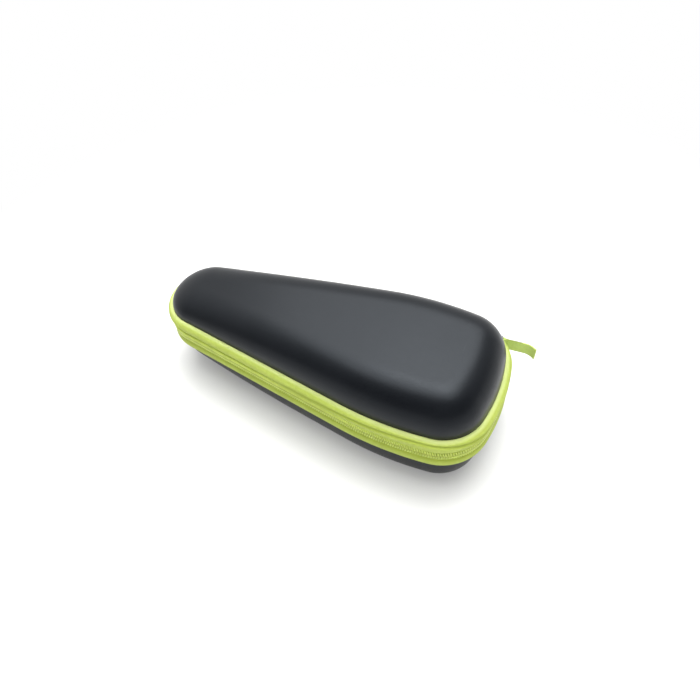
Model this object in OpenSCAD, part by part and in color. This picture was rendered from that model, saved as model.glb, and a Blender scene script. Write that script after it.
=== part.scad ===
// Hard case for an electric shaver: two moulded half shells, joined along one straight side by a
// hinge strip and closed all round the rest by a zip with a ribbon pull.
// +X points to the wide end, +Y to the hinge side, +Z up. The case rests on z = 0.
// Insets are counted inwards from the outermost line of the zip band, in plan.

/* [Plan] */
// Radius of the narrow end
narrow_radius = 26; // [23:0.5:31]
// Length of each straight side
side_length = 108; // [90:1:130]
// Angle between a straight side and the middle line, in degrees
side_angle = 8; // [6:0.5:10]
// Radius of the shoulder after the straight side
shoulder_radius = 190; // [160:5:230]
// Angle that the shoulder has turned past the middle line, in degrees
shoulder_turn = 7; // [5:0.5:9]
// Radius of the two corners of the wide end
corner_radius = 27; // [24:0.5:32]
// Angle at which a corner hands over to the end curve, in degrees
end_angle = 11; // [8:1:15]

/* [Shells] */
// Height of the lower half, from the table to the middle of the zip
base_height = 33; // [28:1:40]
// Height of the upper half, from the middle of the zip to the top
lid_height = 31; // [26:1:32]
// Width of the rounding round the top face
lid_rounding = 19; // [16:0.5:21]
// Width of the rounding round the underside
base_rounding = 10; // [8:0.5:14]
// Share of its height that the lid has lost at the narrow end
lid_drop = 0.62; // [0:0.02:0.66]
// Share of its height that the base has lost at the narrow end
base_drop = 0.6; // [0:0.02:0.64]
// Where along the middle line the lid starts to drop
lid_drop_from = 55; // [20:5:70]
// Where along the middle line the underside starts to rise
base_drop_from = -5; // [-40:5:5]
// Thickness of the outer leathercloth
skin_wall = 1; // [0.8:0.1:1.2]
// Thickness of the moulded foam shell
core_wall = 3.2; // [2.4:0.2:4]
// Thickness of the inner lining
lining_wall = 0.8; // [0.6:0.1:1]

/* [Zip band] */
// Height of the band on each half, measured from the middle of the zip
band_half = 10.8; // [10:0.2:12.8]
// How far the shell's wall stands back from the band
band_step = 3.9; // [3.4:0.1:4.5]
// Thickness of the zip tape
tape_wall = 1; // [0.8:0.1:1.2]
// Width of one row of the zip's coil
coil_width = 2.6; // [2.2:0.1:3.1]
// Depth of one row of the zip's coil
coil_depth = 1.8; // [1.4:0.1:2]
// Clear gap from the middle of the zip to either coil
coil_gap = 0.5; // [0.4:0.05:0.6]
// Depth of the channel behind the tape in which the slider's back plate runs
channel_depth = 2.6; // [2.4:0.1:3]
// Width of the inner binding up the wall
binding_height = 8; // [6:0.5:9]
// Thickness of the inner binding
binding_wall = 0.55; // [0.4:0.05:0.6]

/* [Slider and pull] */
// Length of the slider along the zip
slider_length = 9.4; // [7.6:0.2:10.4]
// Height of the slider's front plate
slider_height = 7.8; // [7.4:0.2:8.2]
// Thickness of the slider's plates
plate_wall = 1.1; // [0.9:0.1:1.2]
// Gap between the coil and the slider's front plate, which lets the lid's row swing out
slider_gap = 1.5; // [1.4:0.1:1.8]
// Clear height under the bridge of the slider
bridge_gap = 2.2; // [2.1:0.1:2.6]
// Thickness of the pull's link
link_wall = 1.2; // [1:0.1:1.3]
// Length of the pull's link between its two bars
link_length = 7.5; // [7:0.5:9]
// Direction of the link at rest, in degrees from +X
link_angle = -28; // [-32:1:-20]
// Width of the ribbon
ribbon_width = 8; // [6:0.5:9]
// Thickness of one layer of ribbon
ribbon_wall = 0.6; // [0.5:0.05:0.7]
// Straight length of the ribbon
ribbon_straight = 12.5; // [10:0.5:18]
// Direction of the straight length, in degrees from +X
ribbon_angle = 4; // [0:1:10]
// Angle that the ribbon's tip curls back, in degrees
ribbon_curl = 48; // [20:2:70]
// Radius of that curl
ribbon_curl_radius = 8; // [6:0.5:12]

/* [Inside] */
// Place of the elastic strap along the case
strap_place = 12; // [-10:1:30]
// Width of the elastic strap
strap_width = 24; // [16:1:30]
// Thickness of the elastic strap
strap_wall = 1.2; // [0.8:0.1:1.6]
// Place of the pocket's mouth along the case
pocket_mouth = -12; // [-30:1:10]
// Width of the elastic hem at the pocket's mouth
hem_width = 6; // [4:0.5:9]
// Thickness of the mesh
mesh_wall = 0.6; // [0.5:0.1:0.8]

/* [Hidden] */
$fn = 64;

black = [0.1, 0.1, 0.11];
lime = [0.72, 0.82, 0.35];
thread = [0.62, 0.72, 0.27];
foam = [0.22, 0.22, 0.23];
grey = [0.35, 0.35, 0.36];
steel = [0.7, 0.7, 0.72];

// glue line between layers, and gap between pieces that butt against each other
glue = 0.1;
butt = 0.4;

// levels counted from the middle of the zip, and insets of the layers
groove = coil_gap + coil_width + 0.6;
coil_front = 0.6;
tape_front = coil_front + coil_depth + glue;
tape_back = tape_front + tape_wall;
bead_mid = (groove + band_half) / 2;
bead_half = (band_half - groove) / 2;
tape_foot = groove + 0.5;
rim_inset = tape_back + channel_depth;
rim_level = 0.35 + binding_wall + glue;
channel_roof = slider_height / 2 + 0.9;
core_out = skin_wall + glue;
core_in = core_out + core_wall;
lining_out = core_in + glue;
lining_in = lining_out + lining_wall;
binding_inset = band_step + lining_in + glue;
clear_inset = binding_inset + binding_wall + glue;

// plan: arcs and straights of the outline
function dir(a) = [cos(a), sin(a)];
side_start = narrow_radius * dir(90 + side_angle);
side_end = side_start + side_length * dir(side_angle);
shoulder_mid = side_end - shoulder_radius * dir(90 + side_angle);
shoulder_end = shoulder_mid + shoulder_radius * dir(90 - shoulder_turn);
corner_mid = shoulder_end - corner_radius * dir(90 - shoulder_turn);
corner_end = corner_mid + corner_radius * dir(end_angle);
end_radius = corner_end.y / sin(end_angle);
end_mid = corner_end - end_radius * dir(end_angle);
case_length = narrow_radius + end_mid.x + end_radius;
// moves the outline so that the middle of the case is at x = 0
middle = [narrow_radius - case_length / 2, 0];

// counts of steps on each stretch of one side
narrow_steps = 8;
side_steps = 8;
shoulder_steps = 5;
corner_steps = 7;
end_steps = 3;
side_first = narrow_steps;
side_last = side_first + side_steps;
shoulder_last = side_last + shoulder_steps;
half_steps = shoulder_last + corner_steps + end_steps;
ring_steps = 2 * half_steps;

function arc(centre, r, from, to, steps) =
    [for (i = [1:steps]) centre + middle + r * dir(from + (to - from) * i / steps)];
function half_ring(d) = concat(
    [middle + [d - narrow_radius, 0]],
    arc([0, 0], narrow_radius - d, 180, 90 + side_angle, narrow_steps),
    [for (i = [1:side_steps])
        middle + side_start + side_length * i / side_steps * dir(side_angle) - d * dir(90 + side_angle)],
    arc(shoulder_mid, shoulder_radius - d, 90 + side_angle, 90 - shoulder_turn, shoulder_steps),
    arc(corner_mid, corner_radius - d, 90 - shoulder_turn, end_angle, corner_steps),
    arc(end_mid, end_radius - d, end_angle, 0, end_steps));
// one closed line round the case at an inset d, starting at the narrow end and going by the hinge side
function ring(d) = let (h = half_ring(d)) concat(h, [for (i = [half_steps - 1:-1:1]) [h[i].x, -h[i].y]]);
// a point at step s of such a line, where s need not be whole
function on_ring(r, s) = let (n = len(r), i = floor(s), f = s - i) r[i % n] * (1 - f) + r[(i + 1) % n] * f;

// true where a step lies inside one of the straight sides, so that a flat-edged strip can leave it out
function on_straight(i) =
    let (k = i % ring_steps, j = min(k, ring_steps - k)) j > side_first && j < side_last;
// a strip of constant section that follows the outline from step a to step b
function steps_between(a, b) =
    concat([a], [for (i = [floor(a) + 1:ceil(b) - 1]) if (!on_straight(i)) i], [b]);
module strip(section, a, b) {
    path = steps_between(a, b);
    m = len(section);
    n = len(path);
    rings = [for (p = section) ring(p[0])];
    points = [for (s = path) for (j = [0:m - 1]) concat(on_ring(rings[j], s), [section[j][1]])];
    sides = [for (i = [0:n - 2]) for (j = [0:m - 1]) let (k = (j + 1) % m)
        [i * m + j, i * m + k, (i + 1) * m + k, (i + 1) * m + j]];
    ends = [[for (j = [m - 1:-1:0]) j], [for (j = [0:m - 1]) (n - 1) * m + j]];
    polyhedron(points, concat(sides, ends));
}
module closed_strip(section) {
    path = [for (i = [0:ring_steps - 1]) if (!on_straight(i)) i];
    m = len(section);
    n = len(path);
    rings = [for (p = section) ring(p[0])];
    points = [for (i = path) for (j = [0:m - 1]) concat(rings[j][i], [section[j][1]])];
    sides = [for (i = [0:n - 1]) for (j = [0:m - 1]) let (k = (j + 1) % m, e = (i + 1) % n)
        [i * m + j, i * m + k, e * m + k, e * m + j]];
    polyhedron(points, sides);
}

// moulded layers
// height lost at x, as a share
function drop(x, share, from) = let (t = min(1, max(0, (from - x) / (from + case_length / 2)))) share * t * t;
// rounding from wall to face: turn goes from 0 at the wall to 90 at the face
// powers below 1 draw a squarer rounding: the lid's is nearly round, the base's is squarer
lid_power = 0.91;
base_power = 0.6;
function layer(turn, depth, height, rounding, share, from, power) =
    let (d = band_step + depth + (rounding - depth) * (1 - pow(max(0, cos(turn)), power)))
    [for (p = ring(d))
        [p.x, p.y, band_half + ((height - band_half) * (1 - drop(p.x, share, from)) - depth)
            * pow(sin(turn), power)]];
function level_ring(d, z) = [for (p = ring(d)) [p.x, p.y, z]];
turns_out = [90, 76, 62, 48, 35, 23, 12, 0];
turns_in = [0, 15, 32, 50, 70, 90];
function back(list) = [for (i = [len(list) - 1:-1:0]) list[i]];

// closed solid from a list of rings: the first closes the outside, the last the hollow
function cap(r, n, from) =
    let (flat = [for (i = [1:n / 2 - 1]) if (r[i].x >= from) i], f = flat[0])
    concat([[0, 1, n - 1]],
        [for (i = [1:f - 1]) [i, i + 1, n - i - 1, n - i]],
        [[for (i = [f:n - f]) i]]);
function shifted(faces, by) = [for (f = faces) [for (i = f) i + by]];
function turned(faces) = [for (f = faces) [for (i = [len(f) - 1:-1:0]) f[i]]];
module moulded(rings, from) {
    n = ring_steps;
    k = len(rings);
    sides = [for (j = [0:k - 2]) for (i = [0:n - 1]) let (e = (i + 1) % n)
        each [[j * n + i, (j + 1) * n + i, (j + 1) * n + e], [j * n + i, (j + 1) * n + e, j * n + e]]];
    caps = concat(cap(rings[0], n, from), shifted(turned(cap(rings[k - 1], n, from)), (k - 1) * n));
    polyhedron([for (r = rings) each r], concat(sides, caps));
}

// both halves are drawn with the middle of the zip at z = 0 and the shell above it
module on_lid() { translate([0, 0, base_height]) children(); }
module on_base() { translate([0, 0, base_height]) mirror([0, 0, 1]) children(); }

// points of the padded bead, pulled in by t, from the groove to the top of the band
bead_back = band_step - glue;
function bead(t, from, steps) = [for (i = [0:steps]) let (a = from + (90 - from) * i / steps)
    [bead_back - (bead_back - 0.15 - t) * pow(max(0, cos(a)), 0.9), bead_mid + (bead_half - t) * sin(a)]];
function back_bead(t, from, steps) = let (b = bead(t, from, steps)) [for (i = [steps:-1:0]) b[i]];

module skin(height, rounding, share, from, power) {
    edge = band_half - tape_wall;
    moulded(concat(
        [for (a = turns_out) layer(a, 0, height, rounding, share, from, power)],
        [level_ring(band_step, edge), level_ring(band_step + skin_wall, edge)],
        [for (a = back(turns_out)) layer(a, skin_wall, height, rounding, share, from, power)]), from);
}
module core(height, rounding, share, from, power) {
    flange = back_bead(tape_wall + glue, -45, 4);
    // where the back of the tape comes down past the roof of the channel
    low = back_bead(tape_wall, -45, 4)[4];
    share_down = (channel_roof - 2 * glue - tape_foot) / (low[1] - tape_foot);
    roof_edge = tape_back + share_down * (low[0] - tape_back);
    moulded(concat(
        [for (a = turns_out) layer(a, core_out, height, rounding, share, from, power)],
        [level_ring(band_step + core_out, band_half - tape_wall - glue)],
        [for (p = flange) level_ring(p[0], p[1])],
        [level_ring(roof_edge, channel_roof), level_ring(rim_inset, channel_roof),
            level_ring(rim_inset, rim_level), level_ring(band_step + core_in, rim_level)],
        [for (a = turns_in) layer(a, core_in, height, rounding, share, from, power)]), from);
}
module lining(height, rounding, share, from, power) {
    moulded(concat(
        [for (a = back(turns_in)) layer(a, lining_out, height, rounding, share, from, power)],
        [level_ring(band_step + lining_out, rim_level), level_ring(band_step + lining_in, rim_level)],
        [for (a = turns_in) layer(a, lining_in, height, rounding, share, from, power)]), from);
}

// zip, drawn for the upper half
zip_from = side_last + butt / 10;
zip_to = ring_steps + side_first - butt / 13;
coil_from = shoulder_last - 1;
module zip_tape() {
    strip(concat([[tape_front, coil_gap], [tape_front, groove]], bead(0, -66, 7),
        [[bead_back, band_half - tape_wall]], back_bead(tape_wall, -45, 4),
        [[tape_back, tape_foot], [tape_back, coil_gap]]), zip_from, zip_to);
}
module zip_coil() {
    r = coil_depth / 3;
    top = coil_gap + coil_width;
    front = coil_front;
    strip([[tape_front - glue, coil_gap], [front + r, coil_gap], [front, coil_gap + r], [front, top - r],
        [front + r, top], [tape_front - glue, top]], coil_from, zip_to - 0.3);
}
module seam() {
    front = tape_front - glue;
    low = coil_gap + coil_width + 0.12;
    strip([[front, low], [front - 0.4, low], [front - 0.4, low + 0.4], [front, low + 0.4]],
        zip_from + 0.1, zip_to - 0.1);
}
module binding() {
    closed_strip([[rim_inset, 0.35], [rim_inset, 0.35 + binding_wall],
        [binding_inset, 0.35 + binding_wall], [binding_inset, binding_height],
        [binding_inset + binding_wall, binding_height], [binding_inset + binding_wall, 0.35]]);
}
// crimped clip that closes the end of a coil
module end_stop() {
    strip([[0.15, coil_gap], [0.15, coil_gap + coil_width], [tape_front - glue, coil_gap + coil_width],
        [tape_front - glue, coil_gap]], coil_from - 0.35, coil_from - 0.04);
}

// lower half
module lower_skin() {
    color(black) on_base() skin(base_height, base_rounding, base_drop, base_drop_from, base_power);
}
module lower_core() {
    color(foam) on_base() core(base_height, base_rounding, base_drop, base_drop_from, base_power);
}
module lower_lining() {
    color(grey) on_base() lining(base_height, base_rounding, base_drop, base_drop_from, base_power);
}
module lower_zip_tape() { color(lime) on_base() zip_tape(); }
module lower_zip_coil() { color(lime) on_base() zip_coil(); }
module lower_seam() { color(thread) on_base() seam(); }
module lower_binding() { color(black) on_base() binding(); }
module lower_end_stop() { color(steel) on_base() end_stop(); }
// moulded block that holds both rows together where the zip begins
module zip_start_stop() {
    color(lime) on_base() strip([[0.4, coil_gap], [0.4, coil_gap + coil_width],
        [tape_front - glue, coil_gap + coil_width], [tape_front - glue, coil_gap]],
        zip_to - 0.27, zip_to - 0.05);
}
module inside(d, low, high) {
    translate([0, 0, low]) linear_extrude(height = high - low) polygon(ring(d));
}
strap_level = (binding_height + band_half) / 2;
module strap() {
    color(black) on_base() intersection() {
        translate([strap_place - strap_width / 2, -case_length / 2, strap_level])
            cube([strap_width, case_length, strap_wall]);
        inside(clear_inset, strap_level - 1, strap_level + strap_wall + 1);
    }
}
// the two patches by which the strap is sewn to the wall
module strap_anchors() {
    low = binding_height + 0.2;
    high = strap_level + strap_wall + 1;
    color(grey) on_base() intersection() {
        translate([strap_place - strap_width / 2 - 1, -case_length / 2, low])
            cube([strap_width + 2, case_length, high - low]);
        difference() {
            inside(binding_inset, low - 1, high + 1);
            inside(clear_inset - glue, low - 2, high + 2);
        }
    }
}

// hinge strip: the zip tape's fabric goes on across both halves along the far straight side
strip_front = 1.1;
module hinge_strip() {
    upper = concat([[strip_front, groove - 1]], bead(0, -50, 6), [[bead_back, band_half - tape_wall]],
        back_bead(tape_wall, -40, 4), [[strip_front + tape_wall, groove - 0.8]]);
    lower = [for (p = back(upper)) [p[0], -p[1]]];
    color(lime) translate([0, 0, base_height])
        strip(concat(upper, lower), side_first + butt / 14, side_last - butt / 14);
}
// line of thread that holds the strip to one half
module hinge_seam() {
    front = strip_front - glue;
    low = groove - 2;
    strip([[front, low], [front - 0.4, low], [front - 0.4, low + 0.4], [front, low + 0.4]],
        side_first + 0.2, side_last - 0.2);
}
module lower_hinge_seam() { color(thread) on_base() hinge_seam(); }
module upper_hinge_seam() { color(thread) on_lid() hinge_seam(); }

// upper half
module upper_skin() {
    color(black) on_lid() skin(lid_height, lid_rounding, lid_drop, lid_drop_from, lid_power);
}
module upper_core() {
    color(foam) on_lid() core(lid_height, lid_rounding, lid_drop, lid_drop_from, lid_power);
}
module upper_lining() {
    color(grey) on_lid() lining(lid_height, lid_rounding, lid_drop, lid_drop_from, lid_power);
}
module upper_zip_tape() { color(lime) on_lid() zip_tape(); }
module upper_zip_coil() { color(lime) on_lid() zip_coil(); }
module upper_seam() { color(thread) on_lid() seam(); }
module upper_binding() { color(black) on_lid() binding(); }
module upper_end_stop() { color(steel) on_lid() end_stop(); }
mesh_level = 2.4;
hem_wall = mesh_wall + 1;
module pocket_mesh() {
    color(grey) on_lid() intersection() {
        translate([pocket_mouth + hem_width + glue, -case_length / 2, mesh_level])
            cube([case_length, case_length, mesh_wall]);
        inside(clear_inset, mesh_level - 1, mesh_level + mesh_wall + 1);
    }
}
module pocket_hem() {
    color(black) on_lid() intersection() {
        translate([pocket_mouth, -case_length / 2, mesh_level - 0.5])
            cube([hem_width, case_length, hem_wall]);
        inside(clear_inset, mesh_level - 1, mesh_level + hem_wall + 1);
    }
}
// line of thread along the hem
module pocket_seam() {
    color(grey) on_lid() intersection() {
        translate([pocket_mouth + hem_width - 1.5, -case_length / 2, mesh_level - 0.5 - glue - 0.3])
            cube([0.5, case_length, 0.3]);
        inside(clear_inset, mesh_level - 2, mesh_level + 1);
    }
}

// slider and pull
front_in = coil_front - slider_gap;
front_out = front_in - plate_wall;
back_in = tape_back + 0.3;
back_out = back_in + plate_wall;
bridge_in = front_out - bridge_gap;
bridge_out = bridge_in - 0.9;
bridge_length = 7;
bridge_leg = 1.2;
// angle that a length along the corner takes up
function along(length) = length / corner_radius * 180 / PI;
park_angle = 90 - shoulder_turn - along(slider_length) / 2 - 1;
slider_axis = corner_mid + middle;
// a piece of ring round the corner's centre, between two insets, at an angle from the parked slider
module corner_piece(inset_out, inset_in, low, high, from, to) {
    rotate([0, 0, park_angle + from]) rotate_extrude(angle = to - from)
        translate([corner_radius - inset_in, low]) square([inset_in - inset_out, high - low]);
}
module at_slider() { translate([slider_axis.x, slider_axis.y, base_height]) children(); }
module slider() {
    half = along(slider_length) / 2;
    end = along(0.5);
    bridge = along(bridge_length) / 2;
    leg = along(bridge_leg);
    h = slider_height / 2;
    color(steel) at_slider() union() {
        corner_piece(front_out, front_in, -h, h, -half, half);
        corner_piece(back_in, back_out, -h, h, end - half, half);
        corner_piece(front_in - 0.1, back_in + 0.1, coil_gap / 2 - coil_gap, coil_gap / 2,
            half - along(3.3), half - end);
        corner_piece(bridge_out, bridge_in, -1.3, 1.3, -bridge, bridge);
        corner_piece(bridge_in - 0.1, front_out + 0.1, -1.3, 1.3, -bridge, leg - bridge);
        corner_piece(bridge_in - 0.1, front_out + 0.1, -1.3, 1.3, bridge - leg, bridge);
    }
}
// the link turns about its inner bar, which lies under the bridge
link_radius = corner_radius - (front_out + bridge_in) / 2;
link_axis = slider_axis + link_radius * dir(park_angle);
module rounded(width, height, r) {
    square([width - 2 * r, height], center = true);
    square([width, height - 2 * r], center = true);
    for (x = [-1, 1]) for (y = [-1, 1])
        translate([x * (width / 2 - r), y * (height / 2 - r)]) circle(r);
}
link_inside = ribbon_width + 1.4;
link_bar = link_wall / 2 - 0.05;
module pull_link() {
    color(steel) translate([link_axis.x, link_axis.y, base_height]) rotate([0, 0, link_angle]) union() {
        translate([link_length / 2, link_wall / 2, 0]) rotate([90, 0, 0]) linear_extrude(height = link_wall)
            difference() {
                rounded(link_length + link_wall, link_inside + 2 * link_wall, 1.6);
                rounded(link_length - link_wall, link_inside, 0.6);
                translate([-link_length / 2, 0]) square([link_wall + 0.1, link_inside - 1.2], center = true);
            }
        // round bar that turns under the bridge
        cylinder(h = link_inside - 0.8, r = link_bar, center = true);
    }
}
ribbon_start = link_axis + link_length * dir(link_angle);
loop_radius = link_wall * 0.75 + 0.1;
function curl_line(side) = let (c = ribbon_start + ribbon_straight * dir(ribbon_angle)
        + ribbon_curl_radius * dir(ribbon_angle - 90))
    [for (i = [0:6]) c + (ribbon_curl_radius + side * ribbon_wall) * dir(90 + ribbon_angle - ribbon_curl * i / 6)];
// the ribbon goes round the outer bar of the link and lies double from there to its tip
module pull_ribbon() {
    across = ribbon_wall * dir(ribbon_angle + 90);
    root = ribbon_start + (loop_radius + 0.1) * dir(ribbon_angle);
    tip = curl_line(-1);
    color(lime) translate([0, 0, base_height - ribbon_width / 2]) difference() {
        union() {
            translate(ribbon_start) cylinder(h = ribbon_width, r = loop_radius + ribbon_wall);
            linear_extrude(height = ribbon_width)
                polygon(concat([root - across, root + across], curl_line(1), [for (i = [6:-1:0]) tip[i]]));
        }
        translate([ribbon_start.x, ribbon_start.y, -1]) cylinder(h = ribbon_width + 2, r = loop_radius);
    }
}
// box of stitches that closes the ribbon's loop, on both faces
module pull_stitching() {
    color(thread) for (side = [-1, 1]) for (row = [0, 1])
        translate([ribbon_start.x, ribbon_start.y, base_height]) rotate([0, 0, ribbon_angle])
            translate([3.2 + 3 * row, side * (ribbon_wall + glue + 0.15), 0])
                cube([0.4, 0.3, ribbon_width - 2], center = true);
}

lower_skin();
lower_core();
lower_lining();
lower_zip_tape();
lower_zip_coil();
lower_seam();
lower_binding();
lower_end_stop();
zip_start_stop();
strap();
strap_anchors();
hinge_strip();
lower_hinge_seam();
upper_hinge_seam();
upper_skin();
upper_core();
upper_lining();
upper_zip_tape();
upper_zip_coil();
upper_seam();
upper_binding();
upper_end_stop();
pocket_mesh();
pocket_hem();
pocket_seam();
slider();
pull_link();
pull_ribbon();
pull_stitching();
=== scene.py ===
import bpy
import bmesh
import math
from mathutils import Matrix, Vector


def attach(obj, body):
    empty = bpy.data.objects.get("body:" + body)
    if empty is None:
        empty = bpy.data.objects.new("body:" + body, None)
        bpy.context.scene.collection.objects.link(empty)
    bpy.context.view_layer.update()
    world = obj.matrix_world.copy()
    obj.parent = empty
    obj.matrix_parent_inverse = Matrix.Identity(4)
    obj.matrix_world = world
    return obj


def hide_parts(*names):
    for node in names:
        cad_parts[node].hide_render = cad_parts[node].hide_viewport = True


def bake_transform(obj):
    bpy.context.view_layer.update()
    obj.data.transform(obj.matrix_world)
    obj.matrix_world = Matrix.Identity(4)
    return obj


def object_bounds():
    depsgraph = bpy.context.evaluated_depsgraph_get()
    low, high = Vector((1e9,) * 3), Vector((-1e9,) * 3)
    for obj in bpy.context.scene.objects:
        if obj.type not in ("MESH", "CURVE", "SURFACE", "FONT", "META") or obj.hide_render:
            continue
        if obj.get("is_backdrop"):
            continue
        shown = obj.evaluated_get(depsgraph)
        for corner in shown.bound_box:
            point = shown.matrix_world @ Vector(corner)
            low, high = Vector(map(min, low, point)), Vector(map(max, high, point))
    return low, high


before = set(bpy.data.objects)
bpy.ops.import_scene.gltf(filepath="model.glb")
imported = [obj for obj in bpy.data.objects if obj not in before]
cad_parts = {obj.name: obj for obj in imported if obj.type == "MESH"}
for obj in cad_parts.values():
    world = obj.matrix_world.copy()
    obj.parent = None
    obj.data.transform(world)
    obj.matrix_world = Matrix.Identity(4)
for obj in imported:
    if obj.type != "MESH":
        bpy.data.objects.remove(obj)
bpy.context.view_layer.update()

# Foam shells of both halves: moulded EVA foam 3.2 mm thick, pressed in a warm mould.
# They carry the shape of the case: an egg outline whose half circle at the narrow end and
# broad shallow end are joined by two straight sides 8 degrees off the long axis.
MM = 0.001
SPLIT = 33.0
LENGTH = 204.0257
NARROW, SIDE, LEAN = 26.0, 108.0, math.radians(8)
SHOULDER, TURN = 190.0, math.radians(7)
CORNER, END = 27.0, math.radians(11)
STEP, BAND = 3.9, 10.8
SHAPE = {"base": (33.0, 10.0, 0.6, -5.0, 0.6), "lid": (31.0, 19.0, 0.62, 55.0, 0.91)}


def heading(a):
    return Vector((math.cos(a), math.sin(a)))


MIDDLE = Vector((NARROW - LENGTH / 2, 0))
square = math.pi / 2
side_start = NARROW * heading(square + LEAN)
side_end = side_start + SIDE * heading(LEAN)
shoulder_mid = side_end - SHOULDER * heading(square + LEAN)
shoulder_end = shoulder_mid + SHOULDER * heading(square - TURN)
corner_mid = shoulder_end - CORNER * heading(square - TURN)
corner_end = corner_mid + CORNER * heading(END)
end_radius = corner_end.y / math.sin(END)
end_mid = corner_end - end_radius * heading(END)
stretches = [
    (Vector((0, 0)), NARROW, math.pi, square + LEAN),
    (side_start, None, SIDE, square + LEAN),
    (shoulder_mid, SHOULDER, square + LEAN, square - TURN),
    (corner_mid, CORNER, square - TURN, END),
    (end_mid, end_radius, END, 0.0),
]
runs = [SIDE if r is None else r * (a - b) for c, r, a, b in stretches]
HALF = sum(runs)
ROUND = 2 * HALF


def rim(s):
    """Point and outward normal of the case's outermost line, s millimetres round from the narrow end by the hinge side."""
    s %= ROUND
    near = s > HALF
    s = ROUND - s if near else s
    for (centre, radius, a, b), run in zip(stretches, runs):
        if s <= run or run == runs[-1]:
            break
        s -= run
    if radius is None:
        n = heading(b)
        p = centre + s * heading(LEAN)
    else:
        n = heading(a - s / radius)
        p = centre + radius * n
    p = p + MIDDLE
    return (Vector((p.x, -p.y)), Vector((n.x, -n.y))) if near else (p, n)


def on_rim(s, inset, z):
    p, n = rim(s)
    p = p - inset * n
    return Vector((p.x, p.y, z))


def fallen(x, share, start):
    t = min(1.0, max(0.0, (start - x) / (start + LENGTH / 2)))
    return share * t * t


def moulded(s, row, half):
    """A point of a moulded layer, z counted from the middle of the zip."""
    height, rounding, share, start, square_off = SHAPE[half]
    kind, depth, t = row
    if kind == "level":
        return on_rim(s, depth, t)
    turn = t if kind == "turn" else square
    inset = STEP + depth + (rounding - depth) * (1 - max(0.0, math.cos(turn)) ** square_off)
    p = on_rim(s, inset, 0)
    rise = ((height - BAND) * (1 - fallen(p.x, share, start)) - depth) * math.sin(turn) ** square_off
    if kind == "face":
        p.y *= 1 - t
    return Vector((p.x, p.y, BAND + rise))


def finished(bm, name, body, replaces, smooth=True):
    """Makes the piece from its mesh and puts it on its body, in place of its nodes."""
    mesh = bpy.data.meshes.new(name)
    bm.to_mesh(mesh)
    bm.free()
    piece = bpy.data.objects.new(name, mesh)
    bpy.context.scene.collection.objects.link(piece)
    mesh.polygons.foreach_set("use_smooth", [smooth] * len(mesh.polygons))
    if body:
        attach(piece, body)
    if replaces:
        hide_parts(*replaces)
    return piece


def laid_grid(across, along, place, size=(1.0, 1.0)):
    """A grid whose points are placed one by one, with its own lengths in millimetres as UV."""
    bm = bmesh.new()
    bmesh.ops.create_grid(bm, x_segments=across, y_segments=along, size=1)
    lengths = bm.loops.layers.uv.new("lengths")
    for f in bm.faces:
        for loop in f.loops:
            c = loop.vert.co
            loop[lengths].uv = ((c.x + 1) / 2 * size[0], (c.y + 1) / 2 * size[1])
    for v in bm.verts:
        i, j = round((v.co.x + 1) / 2 * across), round((v.co.y + 1) / 2 * along)
        v.co = place(i, j) * MM
    return bm


def joined(bm):
    bmesh.ops.remove_doubles(bm, verts=bm.verts, dist=2e-6)
    bmesh.ops.dissolve_degenerate(bm, edges=bm.edges, dist=1e-7)
    bmesh.ops.recalc_face_normals(bm, faces=bm.faces)
    return bm


def shell(rows, half, stations=250):
    """Closed shell of a moulded layer: its rows run from the middle of the outer face down to the rim and back up inside."""
    flip = 1 if half == "lid" else -1

    def place(i, j):
        p = moulded(i * ROUND / stations, rows[j], half)
        return Vector((p.x, p.y, SPLIT + flip * p.z))

    return joined(laid_grid(stations, len(rows) - 1, place))


def face_rows(depth, inwards):
    rows = [("face", depth, t) for t in (1, 0.85, 0.68, 0.5, 0.34, 0.18, 0.06)]
    rows += [("turn", depth, math.radians(a)) for a in (90, 85, 79, 73, 67, 61, 55, 49, 43, 37, 31, 25, 19, 13, 8, 4, 1.5, 0)]
    return rows if inwards else rows[::-1]


def bead(t, start, steps, end=90):
    """Section of the padded roll of the tape, pulled in by t."""
    found = []
    for i in range(steps + 1):
        a = math.radians(start + (end - start) * i / steps)
        found.append((3.8 - (3.65 - t) * max(0.0, math.cos(a)) ** 0.9, 7.25 + (3.55 - t) * math.sin(a)))
    return found


def node(tree, kind, settings=None, **inputs):
    """Adds a shader node and returns its first output; an input is a value or another node's output."""
    made = tree.nodes.new("ShaderNode" + kind)
    for key, value in (settings or {}).items():
        setattr(made, key, value)
    for key, value in inputs.items():
        socket = made.inputs[int(key[1:])] if key[0] == "i" and key[1:].isdigit() else made.inputs[key.replace("_", " ")]
        if isinstance(value, bpy.types.NodeSocket):
            tree.links.new(value, socket)
        else:
            socket.default_value = value
    return made.outputs[0]


def math_node(tree, operation, *values):
    return node(tree, "Math", {"operation": operation}, **{f"i{k}": v for k, v in enumerate(values)})


def ramp(tree, factor, *stops):
    """Colour ramp from pairs of place and grey value or colour."""
    out = node(tree, "ValToRGB", Fac=factor)
    elements = out.node.color_ramp.elements
    while len(elements) < len(stops):
        elements.new(0.5)
    for element, (place, colour) in zip(elements, stops):
        element.position = place
        element.color = (colour,) * 3 + (1,) if isinstance(colour, float) else (*colour, 1)
    return out


def material(name, **values):
    """New material; values are the shader's plain settings. Returns it with its tree, shader and object coordinates."""
    made = bpy.data.materials.new(name)
    made.use_nodes = True
    tree = made.node_tree
    shader = tree.nodes["Principled BSDF"]
    for key, value in values.items():
        shader.inputs[key.replace("_", " ")].default_value = value
    coordinates = tree.nodes.new("ShaderNodeTexCoord")
    return made, tree, shader, coordinates.outputs["Object"], coordinates.outputs["UV"]


def bumped(tree, shader, height, distance, strength=1.0):
    tree.links.new(node(tree, "Bump", Strength=strength, Distance=distance, Height=height), shader.inputs["Normal"])


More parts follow.
